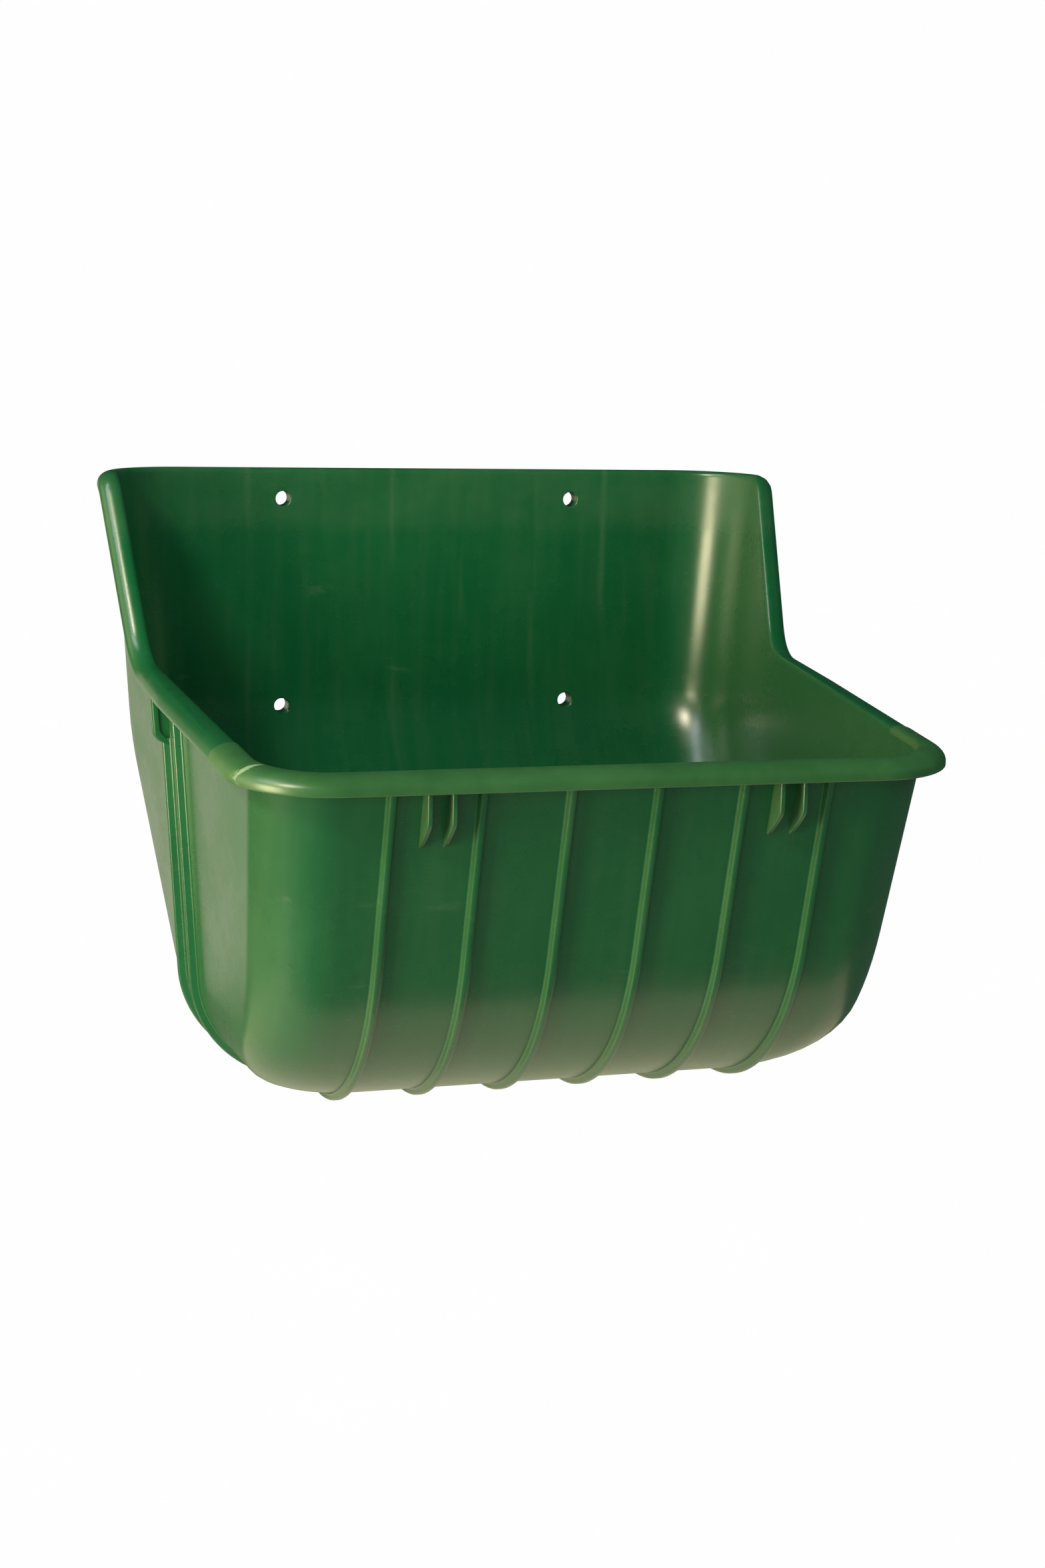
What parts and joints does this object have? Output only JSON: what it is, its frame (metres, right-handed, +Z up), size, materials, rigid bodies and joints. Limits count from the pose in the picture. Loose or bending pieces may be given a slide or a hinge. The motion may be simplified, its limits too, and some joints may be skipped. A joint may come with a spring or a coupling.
{
  "type": "wall-hung feed trough",
  "caption": "Moulded green plastic feed trough for a stable wall, with a tall flat back, rolled rim, raised side edges, stiffening ribs and hooks under the front rim.",
  "frame": {"origin": "in the wall plane, on the rear lip of the top rim, at mid width", "axes": "+Y into the wall, +Z up, +X to the right of someone facing the trough"},
  "size_m": [0.4614, 0.4297, 0.3595],
  "materials": {
    "plastic": "dark green moulded plastic, softly glossy, slightly dusty",
    "front_rim_plastic": "the same plastic, a fresher green with scuffs along the top"
  },
  "bodies": {
    "root": {"left_side_wall": "plastic", "right_side_wall": "plastic", "back_panel": "plastic", "rear_slope": "plastic", "floor_pan": "plastic", "front_wall": "plastic", "back_rim": "plastic", "left_side_rim": "plastic", "right_side_rim": "plastic", "front_rim": "front_rim_plastic", "wrap_rib_1": "plastic", "wrap_rib_2": "plastic", "wrap_rib_3": "plastic", "wrap_rib_4": "plastic", "wrap_rib_5": "plastic", "wrap_rib_6": "plastic", "left_rear_side_rib": "plastic", "left_front_side_rib": "plastic", "left_side_bracket": "plastic", "left_outer_hook_fin": "plastic", "left_inner_hook_fin": "plastic", "right_rear_side_rib": "plastic", "right_front_side_rib": "plastic", "right_side_bracket": "plastic", "right_outer_hook_fin": "plastic", "right_inner_hook_fin": "plastic", "screw_boss_upper_left": "plastic", "screw_boss_upper_right": "plastic", "screw_boss_lower_left": "plastic", "screw_boss_lower_right": "plastic"}
  },
  "joints": []
}
